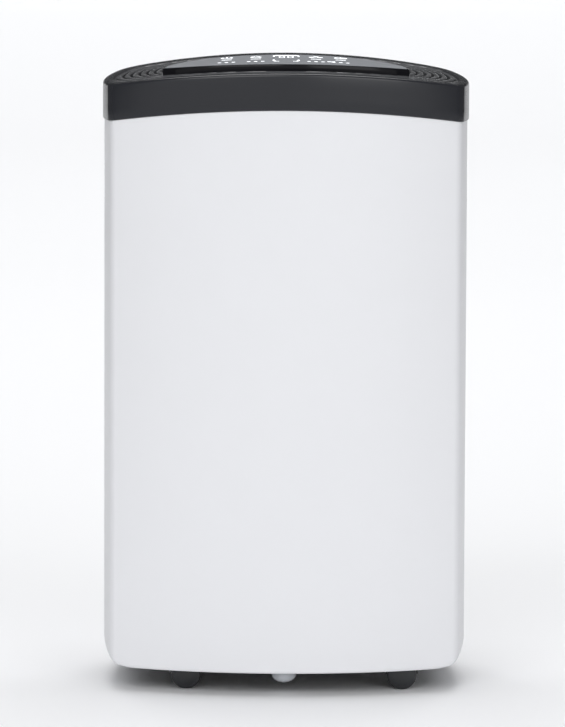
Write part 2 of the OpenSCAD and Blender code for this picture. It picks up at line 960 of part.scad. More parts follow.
front_shell();
side_panel_left();
side_panel_right();
rear_posts();
rear_sill();
rear_shell();
base_pan();
side_beams();
caster_decks();
top_cover();
outlet_grille();
control_pod();
control_panel();
display_window();
control_board();
display_module();
side_grip_left();
side_grip_right();
intake_grille();
filter_frame();
filter_mesh();
water_tank();
tank_lid();
level_window();
tank_float();
float_magnet();
level_switch();
drain_outlet();
drain_cap();
cord_gland();
drain_plug();
compressor();
compressor_feet();
terminal_cover();
accumulator();
evaporator_coil();
evaporator_fins();
condenser_coil();
condenser_fins();
drip_tray();
fan_wheel();
fan_scroll();
scroll_cover();
fan_motor();
motor_shaft();
bulkhead();
suction_pipe();
discharge_pipe();
capillary_tube();
filter_drier();
run_capacitor();
power_board();
humidity_sensor();
casing_screws();
caster_fl_hood();
caster_fl_pins();
caster_fl_wheels();
caster_fr_hood();
caster_fr_pins();
caster_fr_wheels();
caster_rl_hood();
caster_rl_pins();
caster_rl_wheels();
caster_rr_hood();
caster_rr_pins();
caster_rr_wheels();
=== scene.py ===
"""Looks of a portable dehumidifier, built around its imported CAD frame."""
import json
import math
from functools import lru_cache

import bmesh
import bpy
from mathutils import Matrix, Quaternion, Vector

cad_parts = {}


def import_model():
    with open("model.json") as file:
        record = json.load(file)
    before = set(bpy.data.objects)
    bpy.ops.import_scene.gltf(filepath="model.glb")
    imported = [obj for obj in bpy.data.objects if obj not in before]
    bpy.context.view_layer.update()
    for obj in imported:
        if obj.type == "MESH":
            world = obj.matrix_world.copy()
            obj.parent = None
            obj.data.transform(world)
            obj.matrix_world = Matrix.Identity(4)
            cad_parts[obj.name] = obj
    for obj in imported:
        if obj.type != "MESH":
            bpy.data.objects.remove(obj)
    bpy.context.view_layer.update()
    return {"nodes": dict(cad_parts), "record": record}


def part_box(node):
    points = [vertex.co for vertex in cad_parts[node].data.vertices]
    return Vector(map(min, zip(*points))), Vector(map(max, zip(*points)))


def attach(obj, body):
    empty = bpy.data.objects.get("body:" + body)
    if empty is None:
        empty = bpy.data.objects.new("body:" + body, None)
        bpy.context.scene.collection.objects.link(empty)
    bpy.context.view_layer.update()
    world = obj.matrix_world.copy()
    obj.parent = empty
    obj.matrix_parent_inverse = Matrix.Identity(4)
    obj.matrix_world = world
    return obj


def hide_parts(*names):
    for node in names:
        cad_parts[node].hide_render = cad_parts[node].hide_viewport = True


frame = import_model()

MM = 0.001


def corners(node):
    """A node's lowest and highest corner in millimetres."""
    low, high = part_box(node)
    return low / MM, high / MM


# ---- Sizes, in millimetres ----

cover_low, cover_high = corners("top_cover")
COVER_W = cover_high.x - cover_low.x
COVER_D = cover_high.y - cover_low.y
RIM_Z = cover_high.z
POD_Z = corners("control_panel")[1].z
SEAM_GAP = 0.3
SEAM_Z = corners("front_shell")[1].z + SEAM_GAP
BODY_Z = corners("front_shell")[0].z
ARCH_R = 840.0
SKIN = 1.25
WALL = 2.5
EDGE_R = 18.0
LAND = 8.7
REAR_LAND = 12.0
SPLIT_Y = -40.0

# Radii and centres of the casing's plan
FRONT_R = 298.0
SIDE_R = 260.0
REAR_R = 285.0
SIDE_Y = -15.0
FRONT_CORNER_R = 12.0
REAR_CORNER_R = 42.0


# ---- Outlines ----

def nested(c1, r1, c2, r2, r):
    """Centre of a circle of radius r that touches two larger circles from inside."""
    a, b = r1 - r, r2 - r
    v = c2 - c1
    d = v.length
    u = v / d
    x = (d * d + a * a - b * b) / (2 * d)
    y = math.sqrt(a * a - x * x)
    return c1 + x * u + y * Vector((-u.y, u.x))


@lru_cache(None)
def plan_arcs(d):
    """The right-hand plan as arcs (centre, radius, first angle, last angle), d inside the skin."""
    front = Vector((0, -COVER_D / 2 + FRONT_R))
    side = Vector((COVER_W / 2 - SIDE_R, SIDE_Y))
    rear = Vector((0, COVER_D / 2 - REAR_R))
    r1, r2 = max(FRONT_CORNER_R - d, 2), max(REAR_CORNER_R - d, 2)
    c1 = nested(front, FRONT_R - d, side, SIDE_R - d, r1)
    c2 = nested(side, SIDE_R - d, rear, REAR_R - d, r2)

    def heading(v):
        return math.atan2(v.y, v.x)

    a1, a2 = heading(c1 - front), heading(c1 - side)
    a3, a4 = heading(c2 - side), heading(c2 - rear)
    return ((front, FRONT_R - d, -math.pi / 2, a1), (c1, r1, a1, a2), (side, SIDE_R - d, a2, a3),
            (c2, r2, a3, a4), (rear, REAR_R - d, a4, math.pi / 2))


def plan(t, d):
    """A point of the plan: t runs from 0 at the front to 5 at the rear and back to 10."""
    t = t % 10
    mirrored = t > 5
    s = 10 - t if mirrored else t
    k = min(int(s), 4)
    centre, r, a0, a1 = plan_arcs(d)[k]
    a = a0 + (a1 - a0) * (s - k)
    x = centre.x + r * math.cos(a)
    return (-x if mirrored else x), centre.y + r * math.sin(a)


def solve(test, low, high):
    """The t between low and high at which the rising function test is zero."""
    for _ in range(40):
        mid = (low + high) / 2
        if test(mid) < 0:
            low = mid
        else:
            high = mid
    return (low + high) / 2


def t_side(y):
    """The right-hand t at which the casing's skin is at depth y."""
    return solve(lambda t: plan(t, SKIN)[1] - y, 1, 5)


def t_rear(x):
    """The t at which the rear of the casing's skin is at x."""
    t = solve(lambda t: abs(x) - plan(t, SKIN)[0], 3, 5)
    return t if x >= 0 else 10 - t


ARC_STEPS = (26, 14, 18, 22, 26)


def columns(first=0.0, last=10.0, extra=()):
    """Values of t from first to last, with each value of extra among them."""
    half = [k + i / n for k, n in enumerate(ARC_STEPS) for i in range(n)] + [5.0]
    ts = half + [10 - t for t in reversed(half[1:-1])]
    ts = [t for t in ts if first < t < last and all(abs(t - e) > 0.02 for e in extra)]
    return sorted([first, last] + ts + [e for e in extra if first < e < last])


def arch(z, x):
    """Height at x of the arch whose crown is at z."""
    return z - ARCH_R + math.sqrt(ARCH_R ** 2 - x * x)


def smoothstep(a, b, x):
    s = min(max((x - a) / (b - a), 0), 1)
    return s * s * (3 - 2 * s)


def opening(t, d=0.0):
    """The grille opening's outline: the plan inside the land, with a wider land at the rear."""
    x, y = plan(t, LAND + d)
    return x, y - REAR_LAND * smoothstep(-48, 12, y)


POD_TIP = (97.0, -53.0)
POD_FRONT_Y = -75.0
POD_BACK_Y = 17.0
POD_STEPS = 48


def pod_outline(d):
    """The pod's outline, d inside its side: a front bow, round tips and an elliptical back."""
    sag = POD_TIP[1] - POD_FRONT_Y
    r = (POD_TIP[0] ** 2 + sag ** 2) / (2 * sag)
    a = math.asin(POD_TIP[0] / r) - math.radians(2.5)
    centre_y = POD_FRONT_Y + r
    half = []
    for i in range(POD_STEPS + 1):
        b = -math.pi / 2 + a * i / POD_STEPS
        half.append(((r - d) * math.cos(b), centre_y + (r - d) * math.sin(b)))
    for i in range(POD_STEPS + 1):
        b = math.radians(2) + math.radians(88) * (i / POD_STEPS) ** 1.25
        half.append(((POD_TIP[0] - d) * math.cos(b),
                     POD_TIP[1] + (POD_BACK_Y - POD_TIP[1] - d) * math.sin(b)))
    half[-1] = (0.0, half[-1][1])
    return half + [(-x, y) for x, y in reversed(half[1:-1])]


# ---- Mesh making ----

def finish_mesh(mesh, angle=35):
    for p in mesh.polygons:
        p.use_smooth = True
    mesh.set_sharp_from_angle(angle=math.radians(angle))


def add_bevel(obj, width, segments=2, angle=40):
    bevel = obj.modifiers.new("edges", "BEVEL")
    bevel.width = width * MM
    bevel.segments = segments
    bevel.limit_method = "ANGLE"
    bevel.angle_limit = math.radians(angle)
    bevel.harden_normals = True


def piece(name, verts, faces, body, material, bevel=0.0, replaces=(), slot=None, cutters=()):
    """A mesh piece from millimetre points, riding on a CAD body."""
    mesh = bpy.data.meshes.new(name)
    mesh.from_pydata([Vector(v) * MM for v in verts], [], faces)
    bm = bmesh.new()
    bm.from_mesh(mesh)
    bmesh.ops.remove_doubles(bm, verts=bm.verts, dist=1e-7)
    bmesh.ops.recalc_face_normals(bm, faces=bm.faces)
    bm.to_mesh(mesh)
    bm.free()
    obj = bpy.data.objects.new(name, mesh)
    bpy.context.scene.collection.objects.link(obj)
    if cutters:
        cut(obj, cutters)
    finish_mesh(obj.data)
    if bevel:
        add_bevel(obj, bevel)
    obj.data.materials.clear()
    obj.data.materials.append(material)
    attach(obj, body)
    if replaces:
        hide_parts(*replaces)
    return obj


def cut(obj, cutters):
    """Takes cutters, each a (verts, faces) pair in millimetres, out of a mesh."""
    for verts, faces in cutters:
        mesh = bpy.data.meshes.new("cutter")
        mesh.from_pydata([Vector(v) * MM for v in verts], [], faces)
        bm = bmesh.new()
        bm.from_mesh(mesh)
        bmesh.ops.recalc_face_normals(bm, faces=bm.faces)
        bm.to_mesh(mesh)
        bm.free()
        tool = bpy.data.objects.new("cutter", mesh)
        bpy.context.scene.collection.objects.link(tool)
        boolean = obj.modifiers.new("cut", "BOOLEAN")
        boolean.operation = "DIFFERENCE"
        boolean.solver = "EXACT"
        boolean.object = tool
        graph = bpy.context.evaluated_depsgraph_get()
        result = bpy.data.meshes.new_from_object(obj.evaluated_get(graph))
        obj.modifiers.clear()
        obj.data = result
        bpy.data.objects.remove(tool)


def loft(rings, loop=False):
    """Joins rings of equal length; the ends are capped unless the rings close on themselves."""
    n, count = len(rings[0]), len(rings)
    verts = [p for ring in rings for p in ring]
    faces = []
    for i in range(count if loop else count - 1):
        j = (i + 1) % count
        for k in range(n):
            m = (k + 1) % n
            faces.append((i * n + k, i * n + m, j * n + m, j * n + k))
    if not loop:
        faces.append(tuple(range(n)))
        faces.append(tuple((count - 1) * n + k for k in range(n)))
    return verts, faces


def lathe(profile, centre, axis, segments=96):
    """Turns a profile of (radius, distance along the axis) round an axis through centre."""
    turn = {"X": Matrix.Rotation(math.pi / 2, 3, "Y"), "Y": Matrix.Rotation(-math.pi / 2, 3, "X"),
            "Z": Matrix.Identity(3)}[axis]
    rings = []
    for i in range(segments):
        a = 2 * math.pi * i / segments
        rings.append([turn @ Vector((r * math.cos(a), r * math.sin(a), h)) + Vector(centre)
                      for r, h in profile])
    return loft(rings, loop=True)


def joined(parts):
    """Several (verts, faces) pairs as one."""
    verts, faces = [], []
    for v, f in parts:
        base = len(verts)
        verts += list(v)
        faces += [tuple(base + k for k in face) for face in f]
    return verts, faces


def wall(ts, rows, point, is_hole=lambda t, row: False):
    """A wall with thickness over a grid: point(t, row, side) with side 0 outside and 1 inside."""
    nt, nr = len(ts), len(rows)
    verts = [point(t, row, side) for side in (0, 1) for t in ts for row in rows]

    def at(side, i, j):
        return side * nt * nr + i * nr + j

    def kept(i, j):
        if not (0 <= i < nt - 1 and 0 <= j < nr - 1):
            return False
        return not is_hole((ts[i] + ts[i + 1]) / 2, (rows[j] + rows[j + 1]) / 2)

    faces = []
    for i in range(nt - 1):
        for j in range(nr - 1):
            if not kept(i, j):
                continue
            for side in (0, 1):
                quad = (at(side, i, j), at(side, i + 1, j), at(side, i + 1, j + 1), at(side, i, j + 1))
                faces.append(quad if side == 0 else quad[::-1])
            edges = (((i - 1, j), (i, j), (i, j + 1)), ((i + 1, j), (i + 1, j), (i + 1, j + 1)),
                     ((i, j - 1), (i, j), (i + 1, j)), ((i, j + 1), (i, j + 1), (i + 1, j + 1)))
            for beside, a, b in edges:
                if not kept(*beside):
                    faces.append((at(0, *a), at(0, *b), at(1, *b), at(1, *a)))
    used = sorted({k for f in faces for k in f})
    new = {k: n for n, k in enumerate(used)}
    return [verts[k] for k in used], [tuple(new[k] for k in f) for f in faces]


# ---- Materials ----

def material(name, colour, roughness, **options):
    """A moulded or metal surface. Options: metallic, coat, grain (size in mm), bump, mottle,
    alpha, transmission, specular, glow."""
    made = bpy.data.materials.new(name)
    made.use_nodes = True
    nodes, links = made.node_tree.nodes, made.node_tree.links
    shader = nodes["Principled BSDF"]
    shader.inputs["Metallic"].default_value = options.get("metallic", 0.0)
    shader.inputs["Coat Weight"].default_value = options.get("coat", 0.0)
    shader.inputs["Coat Roughness"].default_value = 0.08
    shader.inputs["Specular IOR Level"].default_value = options.get("specular", 0.5)
    shader.inputs["Transmission Weight"].default_value = options.get("transmission", 0.0)
    shader.inputs["Alpha"].default_value = options.get("alpha", 1.0)
    shader.inputs["Emission Color"].default_value = (*colour, 1)
    shader.inputs["Emission Strength"].default_value = options.get("glow", 0.0)

    place = nodes.new("ShaderNodeTexCoord")
    grain = nodes.new("ShaderNodeTexNoise")
    grain.inputs["Scale"].default_value = 1 / (options.get("grain", 0.6) * MM)
    grain.inputs["Detail"].default_value = 3
    links.new(place.outputs["Object"], grain.inputs["Vector"])
    cloud = nodes.new("ShaderNodeTexNoise")
    cloud.inputs["Scale"].default_value = 18
    cloud.inputs["Detail"].default_value = 4
    links.new(place.outputs["Object"], cloud.inputs["Vector"])

    mottle = options.get("mottle", 0.03)
    tint = nodes.new("ShaderNodeMix")
    tint.data_type = "RGBA"
    tint.inputs[6].default_value = [c * (1 - mottle) for c in colour] + [1]
    tint.inputs[7].default_value = [min(c * (1 + mottle), 1) for c in colour] + [1]
    links.new(cloud.outputs["Fac"], tint.inputs[0])
    links.new(tint.outputs[2], shader.inputs["Base Color"])

    gloss = nodes.new("ShaderNodeMapRange")
    gloss.inputs["To Min"].default_value = max(roughness - 0.05, 0.02)
    gloss.inputs["To Max"].default_value = min(roughness + 0.05, 1)
    links.new(cloud.outputs["Fac"], gloss.inputs["Value"])
    links.new(gloss.outputs["Result"], shader.inputs["Roughness"])

    bump = nodes.new("ShaderNodeBump")
    bump.inputs["Strength"].default_value = options.get("bump", 0.05)
    bump.inputs["Distance"].default_value = 0.05 * MM
    links.new(grain.outputs["Fac"], bump.inputs["Height"])
    links.new(bump.outputs["Normal"], shader.inputs["Normal"])
    return made


MATERIALS = {
    "white_plastic": material("white_plastic", (0.742, 0.747, 0.77), 0.38, bump=0.04, mottle=0.006),
    "black_plastic": material("black_plastic", (0.0115, 0.0125, 0.0165), 0.24, bump=0.02, mottle=0.05,
                              specular=0.42),
    "grey_plastic": material("grey_plastic", (0.20, 0.20, 0.21), 0.45, bump=0.08),
    "tank_plastic": material("tank_plastic", (0.70, 0.72, 0.75), 0.25, bump=0.03, mottle=0.01),
    "clear_plastic": material("clear_plastic", (0.55, 0.65, 0.72), 0.08, bump=0.0, alpha=0.45),
    "panel_lens": material("panel_lens", (0.27, 0.28, 0.30), 0.3, bump=0.0, specular=0.03),
    "display_glass": material("display_glass", (0.10, 0.105, 0.115), 0.08, bump=0.0, coat=0.8),
    "circuit_board": material("circuit_board", (0.03, 0.20, 0.08), 0.4, mottle=0.1),
    "filter_net": material("filter_net", (0.06, 0.07, 0.08), 0.8, bump=0.5, grain=1.2),
    "float_plastic": material("float_plastic", (0.85, 0.85, 0.82), 0.5),
    "plug_plastic": material("plug_plastic", (0.46, 0.48, 0.51), 0.22, bump=0.02, coat=0.4),
    "rubber": material("rubber", (0.03, 0.03, 0.03), 0.7, bump=0.3),
    "copper": material("copper", (0.72, 0.38, 0.22), 0.3, metallic=1.0, mottle=0.12),
    "aluminium": material("aluminium", (0.75, 0.76, 0.78), 0.35, metallic=1.0, mottle=0.05),
    "compressor_paint": material("compressor_paint", (0.02, 0.02, 0.02), 0.3, bump=0.15, coat=0.2),
    "steel": material("steel", (0.55, 0.56, 0.58), 0.32, metallic=1.0, mottle=0.08),
    "caster_plastic": material("caster_plastic", (0.03, 0.03, 0.033), 0.4, bump=0.1),
    "caster_wheel": material("caster_wheel", (0.017, 0.018, 0.021), 0.36, bump=0.06),
}
GLOSS_BLACK = material("gloss_black", (0.005, 0.005, 0.007), 0.12, bump=0.0, specular=0.15)
# The louvres are the cover's black plastic made about seven times lighter and more specular: the lighter
# tone is a painted highlight for their lit slat tops
LOUVRE_PAINTED_HIGHLIGHT = material("louvre", (0.085, 0.087, 0.093), 0.16, bump=0.01, mottle=0.03, specular=0.8)
# White print that glows: on the printed panel marks the glow is a painted highlight, as print gives no
# light; on the display digits it is the digits' own light
GLOW_MARK_PAINTED_AND_LIT = material("glow_mark_painted_and_lit", (0.80, 0.82, 0.84), 0.35, bump=0.0, mottle=0.0, glow=1.6)


# ---- Casing ----

def half_width(z, d):
    """Half the casing's width at height z, where its lower side edges are round."""
    w = COVER_W / 2 - SKIN - d
    r = EDGE_R - d
    rise = BODY_Z + EDGE_R - z
    if rise <= 0:
        return w
    return w - r + math.sqrt(max(r * r - min(rise, r) ** 2, 0))


def skin_point(t, z, d):
    """A point of the casing, d inside its skin, with round lower side edges."""
    x, y = plan(t, SKIN + d)
    limit = half_width(z, d)
    blend = 9 * min(max((BODY_Z + EDGE_R - z) / EDGE_R, 0), 1)
    if blend > 0:
        a = abs(x)
        h = max(blend - abs(a - limit), 0)
        x = math.copysign(min(a, limit) - h * h / (4 * blend), x)
    return x, y, z


LOWER_RISES = (0, 0.5, 1.5, 3, 5, 7, 9, 11, 13, 15, 16.5, 18)
TOP_ROW = 1000.0     # the row that follows the arch


def casing_point(t, row, side):
    inset = WALL * side
    lip = 0.0
    if row < BODY_Z + 1.5:
        lip = 0.9 * (1 - (row - BODY_Z) / 1.5) ** 2
    z = row
    if row >= TOP_ROW:
        z = arch(SEAM_Z - SEAM_GAP, plan(t, SKIN)[0])
    return skin_point(t, z, inset if side else lip)


def casing_rows(edges=()):
    rows = [BODY_Z + r for r in LOWER_RISES]
    rows += [z for z in range(48, 440, 14) if all(abs(z - e) > 3 for e in edges)]
    return sorted(rows + list(edges)) + [446, TOP_ROW]


BAY = (113.5, 46.0, 177.0)          # half width, floor and ceiling of the tank bay
INTAKE = (101.5, 205.5, 414.5)
GRIP = (-30.0, 50.0, 384.0, 414.0)  # front, rear, floor and ceiling of a side grip
REAR_SPLIT_Y = 56.0
SCREW_X = 126.0
SCREW_SEAT_Y = 59.0
SCREW_ZS = (64.0, 190.0, 428.0)
SCREW_HOLE_R = 3.6                  # a screw hole takes the head
SHANK_R = 1.8
WELL_R = 4.9
WELL_Y = (57, 66)                   # bottom and mouth of the tube round a screw
BEHIND_Y = 120                      # a depth behind the casing, where cutters end
REAR_CUT_Y = 80
GLAND_HOLE_R = 7
SPIGOT_HOLE_R = 6.3
AXIS_R = 0.01                       # stands for a radius of zero in a lathe profile


def casing_piece(name, node, ts, marks=(), is_hole=lambda t, z: False, cutters=()):
    verts, faces = wall(ts, casing_rows(marks), casing_point, is_hole)
    piece(name, verts, faces, "casing", MATERIALS["white_plastic"], 0.35, [node], "white_plastic",
          cutters)


def front_shell():
    split = t_side(SPLIT_Y)
    ts = [t - 10 if t > 5 else t for t in columns(0, 10)]
    casing_piece("front_shell_skin", "front_shell",
                 sorted([-split, split] + [t for t in ts if abs(t) < split - 0.01]))


def side_panels():
    first, last = t_side(SPLIT_Y + SEAM_GAP), t_side(REAR_SPLIT_Y)
    grip = t_side(GRIP[0]), t_side(GRIP[1])
    ts = columns(first, last, grip)

    def is_hole(t, z):
        side = t if t < 5 else 10 - t
        return grip[0] < side < grip[1] and GRIP[2] < z < GRIP[3]

    for side, turned in (("left", True), ("right", False)):
        line = sorted(10 - t for t in ts) if turned else ts
        casing_piece(f"side_panel_{side}_skin", f"side_panel_{side}", line, GRIP[2:], is_hole)


def rear_posts():
    """The corners beside the tank, with the screw holes."""
    split = t_side(REAR_SPLIT_Y + SEAM_GAP)
    edges = sorted(t_rear(s * BAY[0]) for s in (-1, 1))
    profile = [(AXIS_R, 62), (SCREW_HOLE_R, 62), (SCREW_HOLE_R, BEHIND_Y), (AXIS_R, BEHIND_Y)]
    screws = [lathe(profile, (s * SCREW_X, 0, z), "Y", 40) for s in (-1, 1) for z in SCREW_ZS]
    casing_piece("rear_posts_skin", "rear_posts", columns(split, 10 - split, edges), (),
                 lambda t, z: edges[0] < t < edges[1], screws)


def through_hole(node, r):
    """A cutter along Y round the middle of a node that passes through the rear wall."""
    low, high = corners(node)
    return lathe([(AXIS_R, REAR_CUT_Y), (r, REAR_CUT_Y), (r, BEHIND_Y), (AXIS_R, BEHIND_Y)],
                 ((low.x + high.x) / 2, 0, (low.z + high.z) / 2), "Y", 48)


def rear_sill():
    first, last = sorted(t_rear(s * (BAY[0] - SEAM_GAP)) for s in (-1, 1))
    casing_piece("rear_sill_skin", "rear_sill", columns(first, last), BAY[1:2],
                 lambda t, z: z > BAY[1], [through_hole("cord_gland", GLAND_HOLE_R)])


def rear_shell():
    """The wall above the tank, round the intake."""
    first, last = sorted(t_rear(s * (BAY[0] - SEAM_GAP)) for s in (-1, 1))
    intake = sorted(t_rear(s * INTAKE[0]) for s in (-1, 1))

    def is_hole(t, z):
        return z < BAY[2] or intake[0] < t < intake[1] and INTAKE[1] < z < INTAKE[2]

    casing_piece("rear_shell_skin", "rear_shell", columns(first, last, intake),
                 BAY[2:] + INTAKE[1:], is_hole, [through_hole("drain_outlet", SPIGOT_HOLE_R)])


def screw_wells():
    """Tubes behind the screw holes, with the screw heads at the bottom."""
    bottom, mouth = WELL_Y
    profile = [(SHANK_R, bottom), (WELL_R, bottom), (WELL_R, mouth), (SCREW_HOLE_R, mouth),
               (SCREW_HOLE_R, SCREW_SEAT_Y), (SHANK_R, SCREW_SEAT_Y)]
    parts = [lathe(profile, (s * SCREW_X, 0, z), "Y", 40) for s in (-1, 1) for z in SCREW_ZS]
    piece("screw_wells", *joined(parts), "casing", MATERIALS["white_plastic"], slot="white_plastic")


# ---- Top cover ----

COVER_PROFILE = [   # (distance inside the skin, height above the seam or below the rim)
    (0.7, "seam", 0.0), (0.15, "seam", 0.25), (0.0, "seam", 0.8), (0.0, "seam", 9.0),
    (0.0, "seam", 18.0), (0.0, "rim", 2.6), (0.12, "rim", 1.6), (0.55, "rim", 0.75),
    (1.25, "rim", 0.2), (2.2, "rim", 0.0), (5.0, "rim", 0.0), (LAND - 0.9, "rim", 0.0),
    (LAND - 0.3, "rim", 0.15), (LAND, "rim", 0.7), (LAND, "rim", WALL), (6.05, "rim", WALL),
    (6.05, "seam", -8.0), (4.05, "seam", -8.0), (4.05, "seam", 0.0)]


def cover_point(t, d, base, h):
    x, y = plan(t, d)
    if base == "rim" and d > 2.3:
        far_x, far_y = opening(t)
        near_x, near_y = plan(t, 2.2)
        share = (d - 2.2) / (LAND - 2.2)
        x, y = near_x + (far_x - near_x) * share, near_y + (far_y - near_y) * share
    return x, y, arch(RIM_Z - h if base == "rim" else SEAM_Z + h, x)


def top_cover():
    rings = [[cover_point(t, *station) for station in COVER_PROFILE] for t in columns()[:-1]]
    piece("top_cover_shell", *loft(rings, loop=True), "casing", MATERIALS["black_plastic"], 0,
          ["top_cover"], "black_plastic")


LOUVRE_PITCH = 6.2
LOUVRE_Y = -8.0
LOUVRE_H = 7.5
CROWN = RIM_Z - 0.4
LOUVRE_SECTION = [  # (across the louvre, height below the crown)
    (-2.9, LOUVRE_H), (-1.2, LOUVRE_H), (2.2, 1.4), (2.25, 0.5), (1.95, 0.12), (1.5, 0.0),
    (-0.6, 0.0), (-1.1, 0.15), (-1.4, 0.5), (-1.45, 1.2)]


def inside(point, outline):
    """Whether a point is inside a closed outline."""
    x, y = point
    hit = False
    x1, y1 = outline[-1]
    for x2, y2 in outline:
        if (y1 > y) != (y2 > y) and x < (x2 - x1) * (y - y1) / (y2 - y1) + x1:
            hit = not hit
        x1, y1 = x2, y2
    return hit


def louvre_runs(radius, frame_line, collar_line):
    """Runs of angles, in degrees, where a louvre ring lies between the frame and the collar."""
    step = 1.0

    def free(a):
        p = (radius * math.cos(math.radians(a)), LOUVRE_Y + radius * math.sin(math.radians(a)))
        return inside(p, frame_line) and not inside(p, collar_line)

    def edge(a, b):
        for _ in range(12):
            mid = (a + b) / 2
            a, b = (mid, b) if free(mid) == free(a) else (a, mid)
        return (a + b) / 2

    marks = [edge(i * step, (i + 1) * step) for i in range(360)
             if free(i * step) != free((i + 1) * step)]
    if not marks:
        return [(0.0, 360.0)] if free(0) else []
    runs = []
    for i, a in enumerate(marks):
        b = marks[(i + 1) % len(marks)]
        b += 360 if b <= a else 0
        if free((a + b) / 2):
            runs.append((a, b))
    return runs


def louvre(radius, first, last):
    steps = max(int((last - first) * radius / 57.3 / 2.5), 3)
    rings = []
    for i in range(steps + 1):
        a = math.radians(first + (last - first) * i / steps)
        ring = []
        for across, low in LOUVRE_SECTION:
            x = (radius + across) * math.cos(a)
            ring.append((x, LOUVRE_Y + (radius + across) * math.sin(a), arch(CROWN - low, x)))
        rings.append(ring)
    return loft(rings)


def louvre_bar(angle, outline, collar):
    """A straight bar under the louvres, from the collar to the frame."""
    a = math.radians(angle)
    u, v = (math.cos(a), math.sin(a)), (-math.sin(a), math.cos(a))
    reach = [r for r in range(20, 160)
             if inside((r * u[0], LOUVRE_Y + r * u[1]), outline)
             and not inside((r * u[0], LOUVRE_Y + r * u[1]), collar)]
    rings = []
    for r in reach:
        ring = []
        for side, low in ((-1, 3), (1, 3), (1, LOUVRE_H), (-1, LOUVRE_H)):
            x = r * u[0] + side * v[0]
            ring.append((x, LOUVRE_Y + r * u[1] + side * v[1], arch(CROWN - low, x)))
        rings.append(ring)
    return loft(rings)


def outlet_grille():
    frame_line = [opening(t, 1.2) for t in columns()[:-1]]
    collar_line = pod_outline(-1.2)
    parts = []
    for i in range(6, 25):
        radius = i * LOUVRE_PITCH + 1.2
        parts += [louvre(radius, a, b) for a, b in louvre_runs(radius, frame_line, collar_line)]
    parts += [louvre_bar(a, frame_line, collar_line) for a in range(0, 360, 30)]
    section = [(0.3, LOUVRE_H), (0.3, 0.3), (0.6, 0.0), (1.8, 0.0), (2.1, 0.3), (2.1, LOUVRE_H)]
    rings = []
    for t in columns()[:-1]:
        ring = [opening(t, d) + (low,) for d, low in section]
        rings.append([(x, y, arch(CROWN - low, x)) for x, y, low in ring])
    parts.append(loft(rings, loop=True))
    lines = [(pod_outline(-d), low) for d, low in section]
    rings = [[(line[k][0], line[k][1], arch(CROWN - low, line[k][0])) for line, low in lines]
             for k in range(len(collar_line))]
    parts.append(loft(rings, loop=True))
    # The louvres take the lightened black plastic, whose lighter tone is a painted highlight
    piece("outlet_louvres", *joined(parts), "casing", LOUVRE_PAINTED_HIGHLIGHT, 0,
          ["outlet_grille"], "black_plastic")


# ---- Control pod ----

def pod_rings(stations):
    """Rings of the pod: each station is (inset, height below the pod's crown, shrink)."""
    rings = []
    for d, low, shrink in stations:
        rings.append([(x * shrink, POD_TIP[1] + (y - POD_TIP[1]) * shrink,
                       arch(POD_Z - low, x * shrink)) for x, y in pod_outline(d)])
    return rings


SHRINKS = (0.9, 0.75, 0.55, 0.35, 0.15)


def control_pod():
    flange = POD_Z - (CROWN - LOUVRE_H - SEAM_GAP)
    stations = [(1.6, 2.05, s) for s in reversed(SHRINKS)]
    stations += [(1.6, 2.05, 1), (1.6, 0.75, 1), (1.45, 0.6, 1), (0.6, 0.6, 1), (0.2, 0.75, 1),
                 (0.0, 1.15, 1), (0.0, 4, 1), (0.0, flange, 1), (-2.2, flange, 1),
                 (-2.2, flange + 2, 1), (WALL, flange + 2, 1), (WALL, 4.6, 1)]
    stations += [(WALL, 4.6, s) for s in SHRINKS]
    piece("control_pod_shell", *loft(pod_rings(stations)), "casing", GLOSS_BLACK, 0,
          ["control_pod"], "black_plastic")


def control_panel():
    stations = [(1.8, 2.0, s) for s in reversed(SHRINKS)]
    stations += [(1.8, 2.0, 1), (1.8, 0.45, 1), (1.9, 0.15, 1), (2.2, 0.0, 1)]
    stations += [(2.2, 0.0, s) for s in SHRINKS]
    piece("control_panel_lens", *loft(pod_rings(stations)), "casing", MATERIALS["panel_lens"], 0,
          ["control_panel"], "panel_lens")


# ---- Marks on the panel ----

MARK_RISE = 0.08     # marks above the lens
MARK_DEPTH = 0.4


def on_lens(x, y, high):
    return x, y, arch(POD_Z, x) + (MARK_RISE if high else -MARK_DEPTH)


def stroke(points, width, closed=False):
    """A flat line of even width printed on the lens, through points."""
    count = len(points)
    rings = []
    for i, (x, y) in enumerate(points):
        before = points[i - 1] if i or closed else points[i]
        after = points[(i + 1) % count] if i < count - 1 or closed else points[i]
        along = Vector((after[0] - before[0], after[1] - before[1])).normalized()
        side = Vector((-along.y, along.x)) * width / 2
        a, b = (x + side.x, y + side.y), (x - side.x, y - side.y)
        rings.append([on_lens(*a, False), on_lens(*b, False), on_lens(*b, True), on_lens(*a, True)])
    return loft(rings, loop=closed)


def filled(outline):
    """A flat shape printed on the lens."""
    return loft([[on_lens(x, y, high) for x, y in outline] for high in (False, True)])


def arc_line(x, y, r, first, last, n=20, squash=1.0):
    return [(x + r * math.cos(math.radians(first + (last - first) * i / n)),
             y + squash * r * math.sin(math.radians(first + (last - first) * i / n)))
            for i in range(n + 1)]


def power_mark(x, y):
    return [stroke(arc_line(x, y, 4.2, 125, 415, squash=1.3), 1.3),
            stroke([(x, y + 1), (x, y + 8)], 1.3)]


def drop_mark(x, y):
    low = arc_line(x, y - 1.5, 3.8, 150, 390)
    return [stroke(low + [(x, y + 9)], 1.3, closed=True)]


